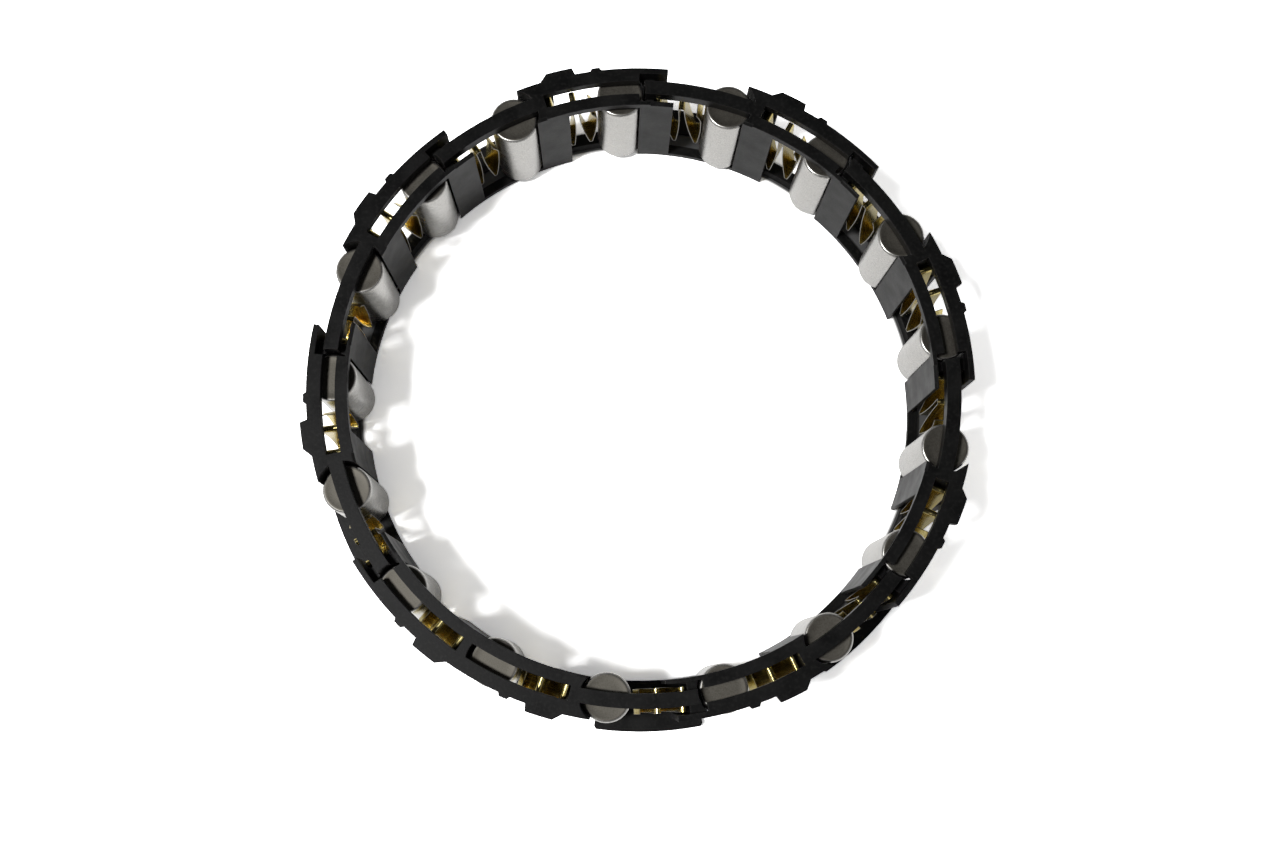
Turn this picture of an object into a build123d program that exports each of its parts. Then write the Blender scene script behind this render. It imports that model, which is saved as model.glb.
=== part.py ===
"""Caged roller set of a one-way clutch: a moulded cage, steel rollers and leaf springs.

Lengths are millimetres and angles are degrees. The ring's axis is +Z, the cage stands on
z = 0, and the first roller is on +Y. Pockets are numbered clockwise as seen from above.
Every spring pushes its roller clockwise, against the next bar of the cage.
"""

import os
from math import asin, cos, degrees, radians, sin, sqrt

from build123d import *

os.makedirs("parts", exist_ok=True)

# Rollers
roller_count = 17
roller_diameter = 8.0
roller_length = 18.8
roller_chamfer = 0.45
pitch_radius = 51.1  # circle through the roller centres

# How the rollers sit in the cage
roller_stand_in = 1.1  # past the cage bore, to run on the inner race
roller_stand_out = 0.25  # past the outer rails, to climb the cam
roller_end_play = 0.2  # at each end
roller_seat_gap = 0.35  # round the roller, in the hollow face of its bar

# Bars between the pockets: a web with an inner and an outer flange, which hold the spring's foot
web_thickness = 1.5
inner_flange_reach = 3.3  # past the web
inner_flange_root = 0.95  # radial, beside the web
inner_flange_edge = 0.65  # radial, at its free edge
outer_flange_reach = 2.2  # past the web
outer_flange_thickness = 0.95  # radial
bar_chamfer = 0.4  # top edge of the inner face

# Rails and ribs that close the pocket ends
top_inner_rail_width = 2.0
bottom_inner_rail_width = 1.7
outer_rail_width = 2.3
top_rib_thickness = 2.1
top_inner_rail_thickness = 1.4
top_outer_rail_thickness = 1.6
bottom_thickness = 1.1
bottom_rib_slope = 0.5  # its inner face leans out by this over its thickness

# Free end of a pair of rails, where the next pocket's rib starts between them
nose_depth = 2.6  # how deep the rib's square end stands clear of both rails
rail_end_gap = 1.1  # inner rail stops short of the bar by this

# Lug and nub on each upper outer rail, which index the cage in the cam
lug_height = 1.2
lug_start = 0.3  # after the web
lug_ramp = 1.4
lug_land = 4.4
lug_back = 0.35
nub_height = 0.5
nub_start = 9.1
nub_land = 1.3
nub_ramp = 0.3

# Wide lip on each lower outer rail
lip_height = 2.0
lip_lead = 2.8  # before the web
lip_stop = 4.9  # before the next web
lip_corner = 0.45

# Leaf springs
strip_thickness = 0.25
strip_clearance = 0.3  # to the flanges, the web and the roller
spring_head_room = 3.8  # below the cage's top
spring_foot_room = 4.6  # above the cage's lower face
fold_count = 2
crest_width = 1.2
crest_shoulder = 0.35  # flat that breaks each corner of a crest, for its bend
toe_width = 0.8
knee_drop = 4.4  # from the crests to where the last leg bends back from the roller
tip_bend_out = 0.6
tip_bend_up = 1.6

# Places that follow from the sizes
roller_radius = roller_diameter / 2
pitch_angle = 360 / roller_count
bore_radius = pitch_radius - roller_radius + roller_stand_in
rail_radius = pitch_radius + roller_radius - roller_stand_out
rib_outer = rail_radius - outer_rail_width
flange_inside = rail_radius - outer_flange_thickness
seat_radius = roller_radius + roller_seat_gap
roller_bottom = bottom_thickness + roller_end_play
top_thickness = max(top_rib_thickness, top_inner_rail_thickness, top_outer_rail_thickness)
cage_height = roller_bottom + roller_length + roller_end_play + top_thickness
overlap = 0.6  # how far a rail runs into the web that carries it


def arc_angle(length, radius=pitch_radius):
    """Angle that a length takes up along a circle of the ring."""
    return degrees(length / radius)


# Angles inside one pocket, measured clockwise from the roller centre before the bar
web_front = arc_angle(seat_radius)
web_back = arc_angle(seat_radius + web_thickness)
inner_flange_end = web_back + arc_angle(inner_flange_reach, bore_radius)
outer_flange_end = web_back + arc_angle(outer_flange_reach, rail_radius)
rail_bite = web_back - arc_angle(overlap)


def polar(radius, clockwise):
    """Point on the ring, at an angle measured clockwise from +Y."""
    return (radius * sin(radians(clockwise)), radius * cos(radians(clockwise)))


def sector(inner, outer, start, end):
    """Flat piece of a ring between two radii and two clockwise angles."""
    far = ThreePointArc(polar(outer, start), polar(outer, (start + end) / 2), polar(outer, end))
    near = ThreePointArc(polar(inner, end), polar(inner, (start + end) / 2), polar(inner, start))
    return make_face([far, Line(far @ 1, near @ 0), near, Line(near @ 1, far @ 0)])


def ring_profile(inner, stations):
    """Flat piece of a ring with a stepped outer edge, from (clockwise angle, radius) stations."""
    edges = []
    for (a0, r0), (a1, r1) in zip(stations, stations[1:]):
        if r0 == r1:
            edges.append(ThreePointArc(polar(r0, a0), polar(r0, (a0 + a1) / 2), polar(r0, a1)))
        else:
            edges.append(Line(polar(r0, a0), polar(r1, a1)))
    start, end = stations[0][0], stations[-1][0]
    near = ThreePointArc(polar(inner, end), polar(inner, (start + end) / 2), polar(inner, start))
    edges += [Line(edges[-1] @ 1, near @ 0), near, Line(near @ 1, edges[0] @ 0)]
    return make_face(edges)


def slab(face, bottom, top):
    """Flat piece raised into a solid between two heights."""
    return extrude(Pos(0, 0, bottom) * face, top - bottom, dir=(0, 0, 1))


def is_double(pocket):
    """True where the pocket has a pair of rails on top and one rib below.

    The two kinds of pocket take turns, and an odd count leaves one pair of neighbours alike.
    """
    pair = 2 * ((roller_count + 3) // 4)
    shifted = pocket - 1 if roller_count % 2 and pocket > pair else pocket
    return shifted % 2 == 0


def make_bar():
    """The bar after the roller on +Y: a web with a hollow face for the roller, and its flanges."""
    web = sector(bore_radius, rail_radius, 0, web_back)
    inner_flange = make_face(
        Polyline(
            polar(bore_radius + inner_flange_root, web_front),
            polar(bore_radius + inner_flange_root, web_back),
            polar(bore_radius + inner_flange_edge, inner_flange_end),
            polar(bore_radius, inner_flange_end),
            polar(0, 0),
            close=True,
        )
    ) - Circle(bore_radius)
    outer_flange = sector(flange_inside, rail_radius, web_front, outer_flange_end)
    hollow = Pos(0, pitch_radius) * Circle(seat_radius)
    blank = slab(web + inner_flange + outer_flange - hollow, 0, cage_height)
    inner_edge = blank.edges().group_by(Axis.Z)[-1].filter_by(GeomType.CIRCLE)
    return chamfer(inner_edge.sort_by(lambda edge: abs(edge.radius - bore_radius))[0], bar_chamfer)


def outer_rail(at, top):
    """Plan of an outer rail, from the bar before the pocket to its tip past the next bar."""
    first = at - pitch_angle + rail_bite
    web = at - pitch_angle + web_back
    last = at + outer_flange_end
    if top:
        lengths = [
            (lug_start, 0),
            (lug_ramp, lug_height),
            (lug_land, lug_height),
            (lug_back, 0),
            (nub_start - lug_start - lug_ramp - lug_land - lug_back, 0),
            (nub_ramp, nub_height),
            (nub_land, nub_height),
            (nub_ramp, 0),
        ]
        stations = [(first, rail_radius)]
        along = 0
        for length, height in lengths:
            along += length
            stations.append((web + arc_angle(along, rail_radius), rail_radius + height))
        stations.append((last, rail_radius))
        return ring_profile(rib_outer, stations)
    lip_radius = rail_radius + lip_height
    lip = sector(
        rib_outer,
        lip_radius,
        web - arc_angle(lip_lead, lip_radius),
        at + web_back - arc_angle(lip_stop, lip_radius),
    )
    corners = lip.vertices().group_by(lambda v: round(sqrt(v.X**2 + v.Y**2), 3))[-1]
    return sector(rib_outer, rail_radius, first, last) + chamfer(corners, lip_corner)


def inner_rail(at, width):
    """Plan of an inner rail, flush with the cage bore, from bar to bar."""
    start, end = at - pitch_angle + rail_bite, at + rail_bite
    return sector(bore_radius, bore_radius + width, start, end)


def rib(at, width, bottom, top, slope=0):
    """The single rib that crosses the middle of a pocket, beyond where an inner rail would end."""
    inner = bore_radius + width
    section = Polyline(
        (inner, 0, bottom), (rib_outer, 0, bottom), (rib_outer, 0, top), (inner + slope, 0, top), close=True
    )
    turn = Rot(0, 0, 90 - at - rail_bite)
    return turn * revolve(make_face(section), axis=Axis.Z, revolution_arc=pitch_angle)


def nose_gaps(at, width):
    """Plan of the two gaps that leave the next rib's square end free of the rails beside it."""
    start = at + web_front - arc_angle(rail_end_gap)
    inner_gap = sector(
        bore_radius + inner_flange_edge, bore_radius + width, start, at + inner_flange_end
    )
    outer_gap = sector(rib_outer, flange_inside, start, at + outer_flange_end + 1)
    return inner_gap + outer_gap


def end_frame(top):
    """Rails, ribs and gaps at one end of the cage, as (solids to add, solids to cut)."""
    if top:
        width = top_inner_rail_width
        rib_span = (cage_height - top_rib_thickness, cage_height)
        inner_span = (cage_height - top_inner_rail_thickness, cage_height)
        outer_span = (cage_height - top_outer_rail_thickness, cage_height)
        gap_span = (cage_height - nose_depth, cage_height)
        slope = 0
    else:
        width = bottom_inner_rail_width
        rib_span = inner_span = outer_span = (0, bottom_thickness)
        gap_span = (0, nose_depth)
        slope = bottom_rib_slope
    added, cut = [], []
    for pocket in range(roller_count):
        at = pocket * pitch_angle
        if is_double(pocket) == top:
            added.append(slab(inner_rail(at, width), *inner_span))
            added.append(slab(outer_rail(at, top), *outer_span))
            if is_double((pocket + 1) % roller_count) != top:
                cut.append(slab(nose_gaps(at, width), *gap_span))
        else:
            added.append(rib(at, width, *rib_span, slope))
    return added, cut


def make_cage():
    """The moulded cage: bars all round, then the rails and ribs of both ends."""
    bar = make_bar()
    bars = [Rot(0, 0, -pocket * pitch_angle) * bar for pocket in range(roller_count)]
    top_added, top_cut = end_frame(True)
    bottom_added, bottom_cut = end_frame(False)
    cage = bars[0].fuse(*bars[1:], *top_added, *bottom_added)
    return cage.cut(*top_cut, *bottom_cut)


def make_roller():
    """One roller with chamfered ends, standing on +Y in its pocket."""
    blank = Pos(0, pitch_radius, roller_bottom) * extrude(Circle(roller_radius), roller_length)
    return chamfer(blank.edges().filter_by(GeomType.CIRCLE), roller_chamfer)


def make_spring():
    """One accordion spring, behind the roller on +Y: strip folded up and down from the bar.

    Each fold rises straight, turns over and slants down to the foot of the next. The folds
    lie square across the middle of the room between the web and the roller.
    """
    web_side = pitch_angle - web_back
    roller_side = degrees(asin(roller_radius / pitch_radius))
    half_room = pitch_radius * sin(radians((web_side - roller_side) / 2))
    near_web = -half_room + strip_clearance + strip_thickness / 2
    near_roller = half_room - strip_clearance - strip_thickness / 2
    step = (near_roller - near_web) / fold_count
    spring_top = cage_height - spring_head_room
    shoulder_top = spring_top - crest_shoulder
    points = [(near_web, spring_foot_room)]
    for fold in range(fold_count):
        left = near_web + fold * step
        right = left + crest_width
        points += [
            (left, shoulder_top),
            (left + crest_shoulder, spring_top),
            (right - crest_shoulder, spring_top),
            (right, shoulder_top),
            (left + step - toe_width, spring_foot_room),
            (left + step, spring_foot_room),
        ]
    knee_height = spring_top - knee_drop
    points += [
        (near_roller, knee_height),
        (near_roller - tip_bend_out, knee_height + tip_bend_up),
    ]
    path = Polyline(*points)
    outline = offset(path, strip_thickness / 2, side=Side.BOTH, kind=Kind.INTERSECTION)
    ribbon = make_face(outline.edges())
    strip_inner = bore_radius + inner_flange_root + strip_clearance
    strip_outer = sqrt((flange_inside - strip_clearance) ** 2 - half_room**2)
    strip = Rot(90, 0, 0) * extrude(ribbon, strip_inner - strip_outer)
    middle = Rot(0, 0, (web_side + roller_side) / 2)
    return middle * Pos(0, strip_inner, 0) * strip


cage = make_cage()
export_step(cage, "parts/cage.step")
roller = make_roller()
spring = make_spring()
for pocket in range(roller_count):
    turn = Rot(0, 0, -pocket * pitch_angle)
    export_step(turn * roller, f"parts/roller_{pocket + 1:02d}.step")
    export_step(turn * spring, f"parts/spring_{pocket + 1:02d}.step")
print("cage height", round(cage_height, 2), "bore", round(2 * bore_radius, 2))
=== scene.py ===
# %% [markdown]
# # A roller clutch's cage, rollers and springs
#
# The piece is the inside of a one-way clutch without its two races. A moulded nylon cage holds
# seventeen steel rollers upright in a ring. Beside each roller sits a strip of spring steel,
# folded like an accordion, which keeps the roller pressed towards the next bar of the cage.
#
# The solid model gives every size and place. What is left to do here is the look: the edges and
# the grain of the moulded cage, the ground steel of the rollers, and the springs, which need
# softer bends than the solid model has. The first cell loads the model and keeps its box.

# %% Load the solid model
import random
from math import atan2, cos, pi, radians, sin

import bpy
from mathutils import Euler, Matrix, Vector


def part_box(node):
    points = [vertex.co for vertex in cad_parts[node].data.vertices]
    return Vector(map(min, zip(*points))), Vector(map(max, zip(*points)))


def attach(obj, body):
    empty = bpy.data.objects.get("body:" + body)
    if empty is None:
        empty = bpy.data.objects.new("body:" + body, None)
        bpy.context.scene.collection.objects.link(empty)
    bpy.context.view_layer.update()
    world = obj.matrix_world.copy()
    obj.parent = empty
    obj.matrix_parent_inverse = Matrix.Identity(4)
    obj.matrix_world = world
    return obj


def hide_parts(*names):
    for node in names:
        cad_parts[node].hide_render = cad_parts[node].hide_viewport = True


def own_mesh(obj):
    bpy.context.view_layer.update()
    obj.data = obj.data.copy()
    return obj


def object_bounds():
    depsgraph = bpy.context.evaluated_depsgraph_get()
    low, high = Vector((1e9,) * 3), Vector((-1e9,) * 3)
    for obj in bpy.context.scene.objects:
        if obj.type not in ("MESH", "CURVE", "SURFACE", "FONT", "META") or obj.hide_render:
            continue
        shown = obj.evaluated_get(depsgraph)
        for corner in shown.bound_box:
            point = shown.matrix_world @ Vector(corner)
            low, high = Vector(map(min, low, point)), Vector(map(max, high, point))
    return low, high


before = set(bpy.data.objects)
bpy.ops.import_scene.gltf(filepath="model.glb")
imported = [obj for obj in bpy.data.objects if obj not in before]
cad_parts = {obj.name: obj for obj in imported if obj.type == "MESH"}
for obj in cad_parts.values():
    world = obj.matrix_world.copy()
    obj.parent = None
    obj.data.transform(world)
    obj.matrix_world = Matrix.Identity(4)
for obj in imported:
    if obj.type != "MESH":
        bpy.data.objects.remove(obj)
cad_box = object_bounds()
MM = 0.001
roller_nodes = sorted(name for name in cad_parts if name.startswith("roller_"))
print("rollers:", len(roller_nodes), "box in mm:", [round(v / MM, 1) for v in cad_box[1] - cad_box[0]])

# %% [markdown]
# ## A start for every finish
#
# Each finish is built from shader nodes. A helper makes the material with its Principled shader,
# and another adds a node, sets its sockets and wires it, so that each finish below reads as a
# short list. Textures are measured on the object itself, so they turn with the piece that they
# are on and stay the same from every side.

# %% Material helpers
def start_material(name, metallic, roughness, colour):
    """A material with its Principled shader set, returned with its node tree."""
    material = bpy.data.materials.new(name)
    material.use_nodes = True
    shader = material.node_tree.nodes["Principled BSDF"]
    shader.inputs["Metallic"].default_value = metallic
    shader.inputs["Roughness"].default_value = roughness
    shader.inputs["Base Color"].default_value = (*colour, 1)
    return material, material.node_tree, shader


def add_node(tree, kind, settings=None, **wires):
    """Add a node. Settings are its properties, wires its inputs: a value, or a socket to link."""
    node = tree.nodes.new(kind)
    for name, value in (settings or {}).items():
        setattr(node, name, value)
    for name, value in wires.items():
        socket = node.inputs[name.replace("_", " ")]
        if isinstance(value, bpy.types.NodeSocket):
            tree.links.new(value, socket)
        else:
            socket.default_value = value
    return node


def grain(tree, vector, stretch, scale, detail=3.0):
    """Noise on the given coordinates, stretched along some axes."""
    mapping = add_node(tree, "ShaderNodeMapping", Vector=vector, Scale=stretch)
    noise = add_node(tree, "ShaderNodeTexNoise", Vector=mapping.outputs["Vector"], Scale=scale, Detail=detail)
    return noise.outputs["Fac"]


def between(tree, fac, low, high, start=0.3, stop=0.7):
    """Map a texture's value from start..stop onto low..high."""
    node = add_node(tree, "ShaderNodeMapRange", Value=fac)
    for name, value in (("From Min", start), ("From Max", stop), ("To Min", low), ("To Max", high)):
        node.inputs[name].default_value = value
    return node.outputs["Result"]


def mix_values(tree, fac, first, second):
    """Mix two numbers, each a value or a socket. The Mix node has its numbers at sockets 2 and 3."""
    node = add_node(tree, "ShaderNodeMix", Factor=fac)
    for socket, value in ((node.inputs[2], first), (node.inputs[3], second)):
        if isinstance(value, bpy.types.NodeSocket):
            tree.links.new(value, socket)
        else:
            socket.default_value = value
    return node.outputs[0]


def blend_colours(tree, fac, first, second):
    """Mix two colours, each a tuple or a socket, by a texture's value."""
    node = tree.nodes.new("ShaderNodeMix")
    node.data_type = "RGBA"
    tree.links.new(fac, node.inputs[0])
    for socket, value in ((node.inputs[6], first), (node.inputs[7], second)):
        if isinstance(value, bpy.types.NodeSocket):
            tree.links.new(value, socket)
        else:
            socket.default_value = (*value, 1)
    return node.outputs[2]


def use_only(piece, material):
    """Give a mesh this one material."""
    piece.data.materials.clear()
    piece.data.materials.append(material)


# %% [markdown]
# ## The cage's moulded nylon
#
# The cage looks like injection-moulded nylon with short glass fibre in it, nearly black. Its skin is
# matt, with a fine pebble where the fibres lie under the surface, and faint cloudy patches where
# the melt cooled unevenly. Looked at along the surface it turns grey, because any plastic mirrors
# its surroundings at a low angle. The shader does that by itself, if the colour stays dark and the
# sheen comes from its reflection only.
#
# A moulded edge is never quite sharp. The Bevel node rounds the shading over a tenth of a
# millimetre or so, and where that rounded normal leaves the true one, the edges get a lighter
# colour: a painted highlight along them. Real bevels on this many slots would cost far more.

# %% Nylon for the cage
def nylon_material():
    material, tree, shader = start_material("moulded_nylon", 0.0, 0.5, (0.006, 0.006, 0.006))
    shader.inputs["Specular IOR Level"].default_value = 0.11
    place = add_node(tree, "ShaderNodeTexCoord").outputs["Object"]
    clouds = grain(tree, place, (1, 1, 1), 260, 4)
    pebble = grain(tree, place, (1, 1, 1), 3800, 2)
    specks = between(tree, grain(tree, place, (1, 1, 1), 1700, 1), 0, 1, 0.5, 0.72)
    darker, lighter = (0.0032, 0.0032, 0.0032), (0.0065, 0.0064, 0.0062)
    body = blend_colours(tree, between(tree, clouds, 0, 1), darker, lighter)
    speckled = blend_colours(tree, specks, body, (0.009, 0.0088, 0.0085))
    edge = add_node(tree, "ShaderNodeBevel", {"samples": 4}, Radius=0.16 * MM).outputs["Normal"]
    true_normal = add_node(tree, "ShaderNodeNewGeometry").outputs["Normal"]
    turned = add_node(tree, "ShaderNodeVectorMath", {"operation": "DOT_PRODUCT"})
    tree.links.new(edge, turned.inputs[0])
    tree.links.new(true_normal, turned.inputs[1])
    # painted highlight: a lighter colour on the edges, where the bevelled normal turns away from the true one
    painted_edge_highlight = between(tree, turned.outputs["Value"], 1, 0, 0.8, 0.99)
    tree.links.new(blend_colours(tree, painted_edge_highlight, speckled, (0.02, 0.0195, 0.019)), shader.inputs["Base Color"])
    tree.links.new(between(tree, clouds, 0.32, 0.44), shader.inputs["Roughness"])
    bump = add_node(tree, "ShaderNodeBump", Strength=0.35, Distance=0.03 * MM, Height=pebble, Normal=edge)
    tree.links.new(bump.outputs["Normal"], shader.inputs["Normal"])
    return material


use_only(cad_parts["cage"], nylon_material())
print("cage finished in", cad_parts["cage"].data.materials[0].name)

# %% [markdown]
# ## The rollers
#
# A clutch roller is a plain cylinder of hard bearing steel. Its side is ground while it spins, so
# the finest scratches run round it, and its ends are ground flat and left duller and browner. The
# edge between the two is tumbled to a small radius, which catches the light as a bright ring.
#
# The solid model has a flat chamfer there. A turned shape is easy to make from its half outline:
# write the radius and height of each ring of points, and join each ring to the next. The arc of
# the edge is worked out from a quarter circle.

# %% Turned shape of one roller
EDGE = 0.45 * MM
DISH = 0.02 * MM
AROUND = 96


def roller_outline(radius, length):
    """Half outline of a roller, from the middle of its lower end to the middle of its upper end."""
    quarter = [(i / 6) * pi / 2 for i in range(7)]
    lower = [(radius - EDGE + EDGE * sin(a), EDGE - EDGE * cos(a)) for a in quarter]
    upper = [(r, length - z) for r, z in reversed(lower)]
    dish = [(radius * share, DISH) for share in (0.25, 0.55, 0.8)] + [(0.83 * radius, 0)]
    return dish + lower + upper + [(r, length - z) for r, z in reversed(dish)]


def turned_mesh(name, outline):
    """Spin a half outline about the Z axis and close both ends."""
    rings = len(outline)
    points = []
    for r, z in outline:
        points += [(r * cos(2 * pi * i / AROUND), r * sin(2 * pi * i / AROUND), z) for i in range(AROUND)]
    faces = []
    for ring in range(rings - 1):
        for i in range(AROUND):
            after = (i + 1) % AROUND
            here, above = ring * AROUND, (ring + 1) * AROUND
            faces.append((here + i, here + after, above + after, above + i))
    faces.append(tuple(reversed(range(AROUND))))
    faces.append(tuple(range((rings - 1) * AROUND, rings * AROUND)))
    mesh = bpy.data.meshes.new(name)
    mesh.from_pydata(points, [], faces)
    mesh.shade_smooth()
    return mesh


low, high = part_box("roller_01")
roller_radius, roller_length = (high.x - low.x) / 2, high.z - low.z
print("roller radius and length in mm:", round(roller_radius / MM, 2), round(roller_length / MM, 2))

# %% [markdown]
# The steel is one metal shader. How far a surface faces up or down tells the side from the ends,
# so one material can be satin grey on the side and duller brown on the ends, whatever way the
# roller is turned. Two grains lie on it: long ones round the side from grinding, and fine specks,
# where the steel is a little darker. The grinding is too fine to see as lines, so it works on
# roughness and on a very shallow bump.

# %% Steel for the rollers
def roller_steel():
    material, tree, shader = start_material("ground_steel", 1.0, 0.24, (0.55, 0.54, 0.52))
    place = add_node(tree, "ShaderNodeTexCoord").outputs["Object"]
    normal = add_node(tree, "ShaderNodeNewGeometry").outputs["Normal"]
    height = add_node(tree, "ShaderNodeSeparateXYZ", Vector=normal).outputs["Z"]
    upright = add_node(tree, "ShaderNodeMath", {"operation": "ABSOLUTE"}, Value=height).outputs["Value"]
    end = between(tree, upright, 0, 1, 0.93, 0.995)
    ground = grain(tree, place, (0.12, 0.12, 4), 2600, 3)
    pits = grain(tree, place, (1, 1, 1), 5200, 2)
    side = blend_colours(tree, between(tree, pits, 0, 1), (0.34, 0.332, 0.316), (0.54, 0.53, 0.508))
    cap = blend_colours(tree, between(tree, pits, 0, 1), (0.08, 0.074, 0.062), (0.12, 0.113, 0.098))
    tree.links.new(blend_colours(tree, end, side, cap), shader.inputs["Base Color"])
    satin = between(tree, ground, 0.24, 0.34)
    dull = between(tree, pits, 0.48, 0.6)
    tree.links.new(mix_values(tree, end, satin, dull), shader.inputs["Roughness"])
    bump = add_node(tree, "ShaderNodeBump", Strength=0.12, Distance=0.01 * MM, Height=ground)
    tree.links.new(bump.outputs["Normal"], shader.inputs["Normal"])
    return material


steel = roller_steel()
print("nodes in the rollers' steel:", len(steel.node_tree.nodes))

# %% [markdown]
# All seventeen rollers are the same turned mesh, set down on the middle of its own solid roller.
# Each rides on that roller's body, so it rolls and spins with it.

# %% Set the rollers in place
for node in roller_nodes:
    low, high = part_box(node)
    mesh = turned_mesh("turned_" + node, roller_outline(roller_radius, roller_length))
    mesh.transform(Matrix.Translation(((low.x + high.x) / 2, (low.y + high.y) / 2, low.z)))
    roller = bpy.data.objects.new("turned_" + node, mesh)
    bpy.context.scene.collection.objects.link(roller)
    use_only(roller, steel)
    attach(roller, node)
    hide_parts(node)
print("rollers turned:", len(roller_nodes))

# %% [markdown]
# ## The folded springs
#
# Each spring is one strip of thin spring steel, about four millimetres wide. A press folds it
# up and down: a foot beside the cage's bar, a flat crest, a slanting leg to a tight toe, then the
# same again, and a last leg that leans on the roller and bends away at its tip. Thin strip never
# stays flat between its bends, so each long leg bows a little.
#
# A curve with a bevel would twist at such tight folds. It is simpler to draw the strip's side
# view as a line, round its corners, and give each point of that line a thin cross-section. The
# room for each spring is read off its solid: its turn about the ring's axis and its box there.

# %% Where each spring lies
def spring_room(number):
    """The turn of a spring about the ring's axis, and the corners of its box in that turned frame."""
    low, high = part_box("roller_" + number)
    roller_turn = atan2(-(low.x + high.x), low.y + high.y)
    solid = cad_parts["spring_" + number].data.vertices
    level = Matrix.Rotation(-roller_turn, 3, "Z")
    lean = [atan2(-p.x, p.y) for p in (level @ v.co for v in solid)]
    turn = roller_turn + (min(lean) + max(lean)) / 2
    level = Matrix.Rotation(-turn, 3, "Z")
    local = [level @ v.co for v in solid]
    low = Vector(min(p[i] for p in local) for i in range(3))
    high = Vector(max(p[i] for p in local) for i in range(3))
    return turn, low, high


turn, low, high = spring_room("01")
print("spring room in mm:", [round(v / MM, 2) for v in high - low])

# %% [markdown]
# The side view starts as a list of corners, each with its own bend radius: wide at the crests,
# tight at the toes. A corner is rounded by an arc that touches both of its legs. The small random
# amounts, the same on every run, keep seventeen springs from looking stamped by a computer.

# %% Side view of one spring
STRIP = 0.16 * MM
CREST_BEND, TOE_BEND = 0.6 * MM, 0.26 * MM
CREST_WIDTH, TOE_WIDTH = 0.85 * MM, 0.5 * MM
FOLDS = 2
FOOT_IN, FOOT_RISE, FOOT_BEND = 0.2 * MM, 1.2 * MM, 2 * MM
KNEE_DROP, KNEE_VARIES, KNEE_BEND = 4.5, 0.3, 1.5 * MM  # the first two in mm
TIP_BACK, TIP_UP = 0.9 * MM, 2.2 * MM


def spring_corners(low, high, vary):
    """Corners (x, z) of the strip's centre line with their bend radii, from foot to tip."""
    left, right = low.x + STRIP / 2, high.x - STRIP / 2
    bottom, top = low.z + STRIP / 2, high.z - STRIP / 2
    step = (right - left) / FOLDS
    corners = [(left + FOOT_IN, bottom, 0), (left, bottom + FOOT_RISE, FOOT_BEND)]
    corners.append((left, top, CREST_BEND))
    for fold in range(FOLDS):
        start = left + fold * step
        toe = start + step + vary.uniform(-0.12, 0.12) * MM
        if fold == FOLDS - 1:
            toe -= vary.uniform(0.2, 1.3) * MM
        corners.append((start + CREST_WIDTH, top, CREST_BEND))
        corners.append((toe - TOE_WIDTH, bottom, TOE_BEND))
        corners.append((toe, bottom, TOE_BEND))
        if fold < FOLDS - 1:
            corners.append((start + step, top, CREST_BEND))
    knee = top - (KNEE_DROP + vary.uniform(-KNEE_VARIES, KNEE_VARIES)) * MM
    corners.append((right, knee, KNEE_BEND))
    corners.append((right - TIP_BACK, knee + TIP_UP, 0))
    return corners


def rounded_line(corners, arc_steps=6, leg_steps=8, bow=-0.022):
    """Round each corner by an arc, and bow each long leg by a share of its length."""
    points = [Vector((x, 0, z)) for x, z, _ in corners]
    line = [points[0]]
    for i in range(1, len(points) - 1):
        back, ahead = points[i - 1] - points[i], points[i + 1] - points[i]
        half = back.angle(ahead) / 2
        radius = corners[i][2]
        reach = radius * cos(half) / sin(half)
        reach = min(reach, 0.48 * back.length, 0.48 * ahead.length)
        first = points[i] + back.normalized() * reach
        final = points[i] + ahead.normalized() * reach
        add_leg(line, first, leg_steps, bow)
        for n in range(1, arc_steps + 1):
            t = n / arc_steps
            line.append((1 - t) ** 2 * first + 2 * t * (1 - t) * points[i] + t**2 * final)
    add_leg(line, points[-1], leg_steps, bow)
    return line


def add_leg(line, end, steps, bow):
    """Carry the line on to end, bowed to one side."""
    start = line[-1].copy()
    run = end - start
    side = Vector((-run.z, 0, run.x)) * bow
    for n in range(1, steps + 1):
        t = n / steps
        line.append(start + run * t + side * sin(pi * t))


sample = rounded_line(spring_corners(low, high, random.Random(1)))
print("points along one spring:", len(sample))

# %% [markdown]
# The cross-section is a rectangle with its corners taken off, because a sheared strip is
# deburred, and those tiny flats are what shines as a thin bright line along the spring. Each
# vertex also keeps its distance along and across the strip in an attribute. The finish uses it to
# lay rolling marks along the metal, round every bend.

# %% Mesh of one spring
BURR = 0.03 * MM
BROAD_SIDES = (3, 7)  # of the eight sides of the section, the two rolled ones


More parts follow.
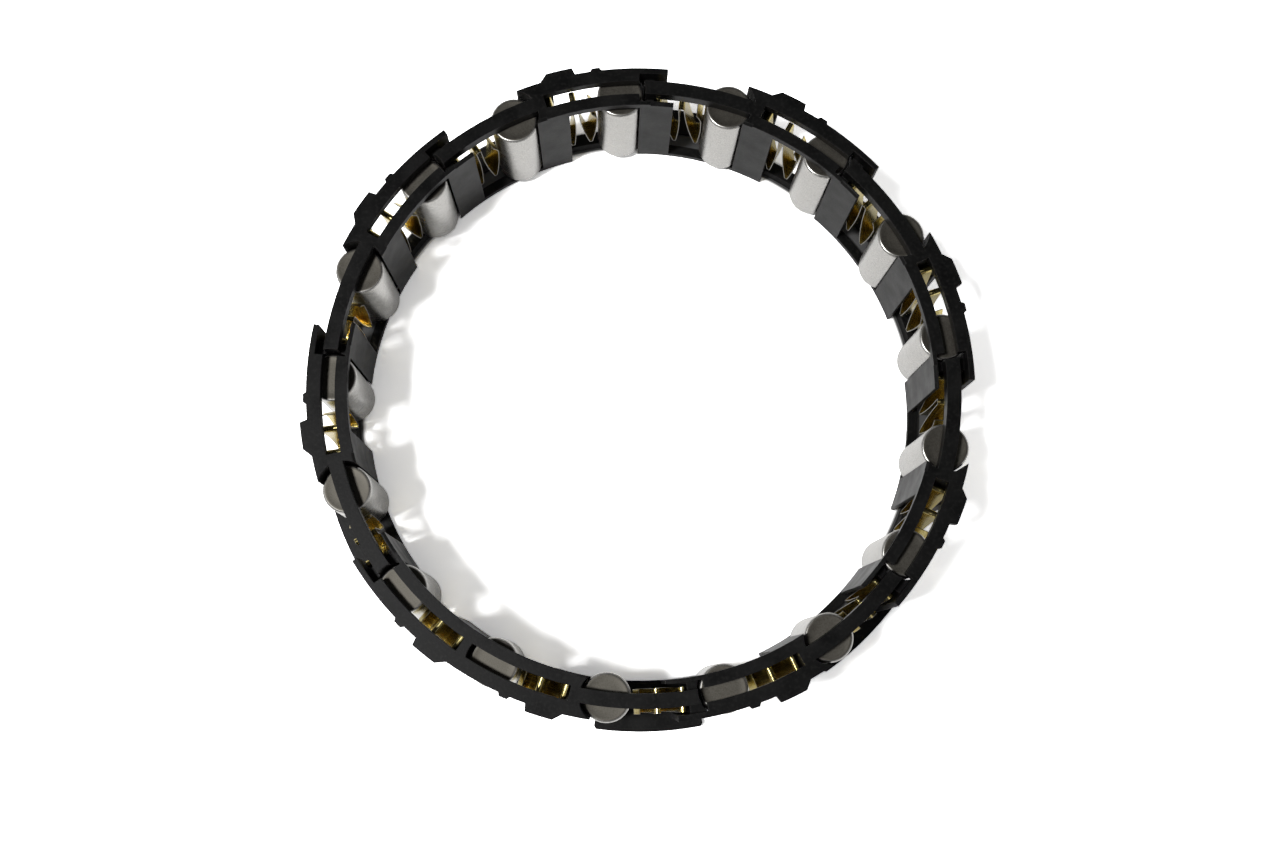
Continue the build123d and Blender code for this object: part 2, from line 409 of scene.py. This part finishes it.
def strip_mesh(name, line, inner, outer):
    """Sweep the strip's section along its side view, which lies in the XZ plane."""
    section = []
    for across, inset in ((inner, 1), (outer, -1)):
        for side in (-1, 1):
            section.append((side * STRIP / 2, across + inset * BURR))
            section.append((side * (STRIP / 2 - BURR), across))
    section = [section[i] for i in (0, 1, 3, 2, 6, 7, 5, 4)]
    size = len(section)
    points, marks, along = [], [], 0.0
    for i, centre in enumerate(line):
        before, after = line[max(i - 1, 0)], line[min(i + 1, len(line) - 1)]
        run = (after - before).normalized()
        normal = Vector((run.z, 0, -run.x))
        along += (centre - line[i - 1]).length if i else 0
        for thick, across in section:
            points.append(centre + normal * thick + Vector((0, across, 0)))
            marks.append((along, across, thick))
    faces = []
    for i in range(len(line) - 1):
        for j in range(size):
            k = (j + 1) % size
            faces.append((i * size + j, i * size + k, (i + 1) * size + k, (i + 1) * size + j))
    faces.append(tuple(reversed(range(size))))
    faces.append(tuple(range((len(line) - 1) * size, len(line) * size)))
    mesh = bpy.data.meshes.new(name)
    mesh.from_pydata(points, [], faces)
    for i, face in enumerate(mesh.polygons):
        face.material_index = 0 if i % size in BROAD_SIDES else 1
    strip_place = mesh.attributes.new("strip_place", "FLOAT_VECTOR", "POINT")
    for i, mark in enumerate(marks):
        strip_place.data[i].vector = mark
    mesh.shade_smooth()
    mesh.set_sharp_from_angle(angle=radians(35))
    return mesh


# %% [markdown]
# Tempering gives bright steel strip a straw tint. The more often light bounces between the folds,
# the deeper that colour gets, so the legs look golden inside the folds and almost white where
# they mirror the bench. A smooth metal shader with a warm colour does all of it.

# %% Tempered strip for the springs
def spring_steel():
    material, tree, shader = start_material("tempered_strip", 1.0, 0.16, (0.78, 0.66, 0.34))
    place = add_node(tree, "ShaderNodeAttribute", {"attribute_name": "strip_place"}).outputs["Vector"]
    rolling = grain(tree, place, (0.02, 1, 1), 3200, 2)
    tint = grain(tree, place, (1, 1, 1), 240, 2)
    warm = blend_colours(tree, between(tree, tint, 0, 1), (0.72, 0.63, 0.3), (0.68, 0.565, 0.21))
    streaked = blend_colours(tree, between(tree, rolling, 0, 0.6, 0.42, 0.6), warm, (0.44, 0.33, 0.12))
    tree.links.new(streaked, shader.inputs["Base Color"])
    tree.links.new(between(tree, rolling, 0.26, 0.15), shader.inputs["Roughness"])
    bump = add_node(tree, "ShaderNodeBump", Strength=0.05, Distance=0.003 * MM, Height=rolling)
    tree.links.new(bump.outputs["Normal"], shader.inputs["Normal"])
    return material


strip_steel = spring_steel()
print("nodes in the strip's steel:", len(strip_steel.node_tree.nodes))

# %% [markdown]
# The strip is cut to width on a shear, after rolling. That leaves its two narrow edges torn, grey
# and without the tint, so they get a second metal, duller and rougher, with a short grain.

# %% Sheared edges of the strip
def sheared_steel():
    material, tree, shader = start_material("sheared_edge", 1.0, 0.42, (0.16, 0.155, 0.14))
    place = add_node(tree, "ShaderNodeAttribute", {"attribute_name": "strip_place"}).outputs["Vector"]
    tear = grain(tree, place, (1, 1, 1), 4200, 2)
    torn = blend_colours(tree, between(tree, tear, 0, 1), (0.19, 0.182, 0.16), (0.3, 0.288, 0.26))
    tree.links.new(torn, shader.inputs["Base Color"])
    tree.links.new(between(tree, tear, 0.34, 0.5), shader.inputs["Roughness"])
    return material


edge_steel = sheared_steel()
print("nodes in the sheared edge:", len(edge_steel.node_tree.nodes))

# %% [markdown]
# Each spring stays with the cage: it rides on the cage's body.

# %% Fit the springs
for node in roller_nodes:
    number = node[-2:]
    turn, low, high = spring_room(number)
    vary = random.Random(int(number))
    line = rounded_line(spring_corners(low, high, vary))
    mesh = strip_mesh("folded_spring_" + number, line, low.y, high.y)
    mesh.transform(Matrix.Rotation(turn, 4, "Z"))
    spring = bpy.data.objects.new("folded_spring_" + number, mesh)
    bpy.context.scene.collection.objects.link(spring)
    spring.data.materials.append(strip_steel)
    spring.data.materials.append(edge_steel)
    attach(spring, "cage")
    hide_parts("spring_" + number)
    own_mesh(spring)

# %% [markdown]
# ## Bench, light and camera
#
# The ring lies on a white cloth, which is a plain pale plane here. The cloth is shown brighter to
# the camera, and to surfaces that mirror it, than it lights the part. The Light Path node tells
# soft light, mirrored rays and the camera's own rays apart, so the background can be white without
# washing out the steel.
#
# Right under the ring a band of the cloth is painted dark. It isn't a mark that a real cloth has.
# Hardly any light gets under a real ring, but this cloth is shown brighter than it lights, so
# without the band the slots of the cage would glow from below. It lies between two radii, with
# soft borders.

# %% Cloth under the ring
CLOTH_LIGHT, CLOTH_IN_METAL, CLOTH_SEEN = 0.8, 1.15, 2.6
UNDER_RING = 0.03  # share of the cloth's brightness that is left in the dark band
BAND_STARTS, BAND_ENDS = (48.8 * MM, 49.6 * MM), (52.9 * MM, 53.5 * MM)  # its two soft borders


def by_ray(tree, light, mirrored, seen):
    """One of three values: for soft light, for what a metal mirrors, or for what the camera sees."""
    path = add_node(tree, "ShaderNodeLightPath")
    shiny = add_node(tree, "ShaderNodeMath", {"operation": "MAXIMUM"})
    tree.links.new(path.outputs["Is Glossy Ray"], shiny.inputs[0])
    tree.links.new(path.outputs["Is Transmission Ray"], shiny.inputs[1])
    unseen = mix_values(tree, shiny.outputs["Value"], light, mirrored)
    return mix_values(tree, path.outputs["Is Camera Ray"], unseen, seen)


def cloth_material():
    material = bpy.data.materials.new("white_cloth")
    material.use_nodes = True
    tree = material.node_tree
    shade = by_ray(tree, CLOTH_LIGHT, CLOTH_IN_METAL, CLOTH_SEEN)
    place = add_node(tree, "ShaderNodeTexCoord").outputs["Object"]
    from_axis = add_node(tree, "ShaderNodeVectorMath", {"operation": "LENGTH"}, Vector=place).outputs["Value"]
    inside = between(tree, from_axis, 1, UNDER_RING, *BAND_STARTS)
    outside = between(tree, from_axis, UNDER_RING, 1, *BAND_ENDS)
    # painted shade under the ring: the share of the cloth's brightness kept, UNDER_RING in the band and 1
    # away from it
    painted_shade_share = add_node(tree, "ShaderNodeMath", {"operation": "MAXIMUM"})
    tree.links.new(inside, painted_shade_share.inputs[0])
    tree.links.new(outside, painted_shade_share.inputs[1])
    colour = add_node(tree, "ShaderNodeMath", {"operation": "MULTIPLY"})
    tree.links.new(shade, colour.inputs[0])
    tree.links.new(painted_shade_share.outputs["Value"], colour.inputs[1])
    fabric = add_node(tree, "ShaderNodeBsdfDiffuse", Color=colour.outputs["Value"])
    tree.links.new(fabric.outputs["BSDF"], tree.nodes["Material Output"].inputs["Surface"])
    return material


half = 2.0
floor_mesh = bpy.data.meshes.new("cloth")
square = [(-half, -half, 0), (half, -half, 0), (half, half, 0), (-half, half, 0)]
floor_mesh.from_pydata(square, [], [(0, 1, 2, 3)])
floor = bpy.data.objects.new("cloth", floor_mesh)
floor.location.z = cad_box[0].z - 0.2 * MM
bpy.context.scene.collection.objects.link(floor)
use_only(floor, cloth_material())
print("cloth at z in mm:", round(floor.location.z / MM, 2))

# %% [markdown]
# The world gives an even fill from all sides. One small lamp, high on the left, throws the soft
# shadow of the ring's own wall on the cloth inside it and draws the bright lines on the springs'
# bends. A broad, faint lamp on the near right lifts the other side.
#
# What steel and moulded plastic mirror is set apart from what lights them. In a mirror the sky is
# bright at the horizon and dark overhead, so the cage's upper faces stay black and its upright
# faces pick up the bright cloth.

# %% Sky and lamps
def sky(fill, in_metal, zenith_share):
    """A world that lights evenly, is white to the camera, and is dark overhead in a metal."""
    world = bpy.data.worlds.new("studio")
    bpy.context.scene.world = world
    world.use_nodes = True
    tree = world.node_tree
    direction = add_node(tree, "ShaderNodeTexCoord").outputs["Generated"]
    upward = add_node(tree, "ShaderNodeSeparateXYZ", Vector=direction).outputs["Z"]
    mirrored = between(tree, upward, in_metal, in_metal * zenith_share, 0.15, 0.6)
    background = tree.nodes["Background"]
    background.inputs["Color"].default_value = (1, 1, 1, 1)
    tree.links.new(by_ray(tree, fill, mirrored, 1.0), background.inputs["Strength"])


def lamp(name, place, size, watts):
    """A square soft lamp that looks at the ring."""
    light = bpy.data.lights.new(name, "AREA")
    light.size = size
    light.energy = watts
    holder = bpy.data.objects.new(name, light)
    holder.location = place
    holder.rotation_euler = (-Vector(place)).to_track_quat("-Z", "Y").to_euler()
    bpy.context.scene.collection.objects.link(holder)


sky(fill=0.36, in_metal=0.9, zenith_share=0.02)
lamp("left_lamp", (-0.31, -0.08, 0.71), 0.11, 4.8)
lamp("right_lamp", (0.5, -0.3, 0.5), 0.5, 0.3)
print("lamps:", [light.name for light in bpy.data.lights])

# %% [markdown]
# The camera looks down into the ring from just inside its near edge, so the far rollers show their
# sides and the near ones only their ends.

# %% Camera
lens = bpy.data.cameras.new("bench_camera")
lens.lens = 38.86
lens.sensor_width = 36.0
camera = bpy.data.objects.new("bench_camera", lens)
camera.location = (-0.00868, -0.04731, 0.24375)
camera.rotation_euler = Euler((radians(10.334), radians(-1.238), radians(-4.209)))
bpy.context.scene.collection.objects.link(camera)
bpy.context.scene.camera = camera
bpy.context.scene.view_settings.view_transform = "Standard"
print("camera height in mm:", round(camera.location.z / MM))
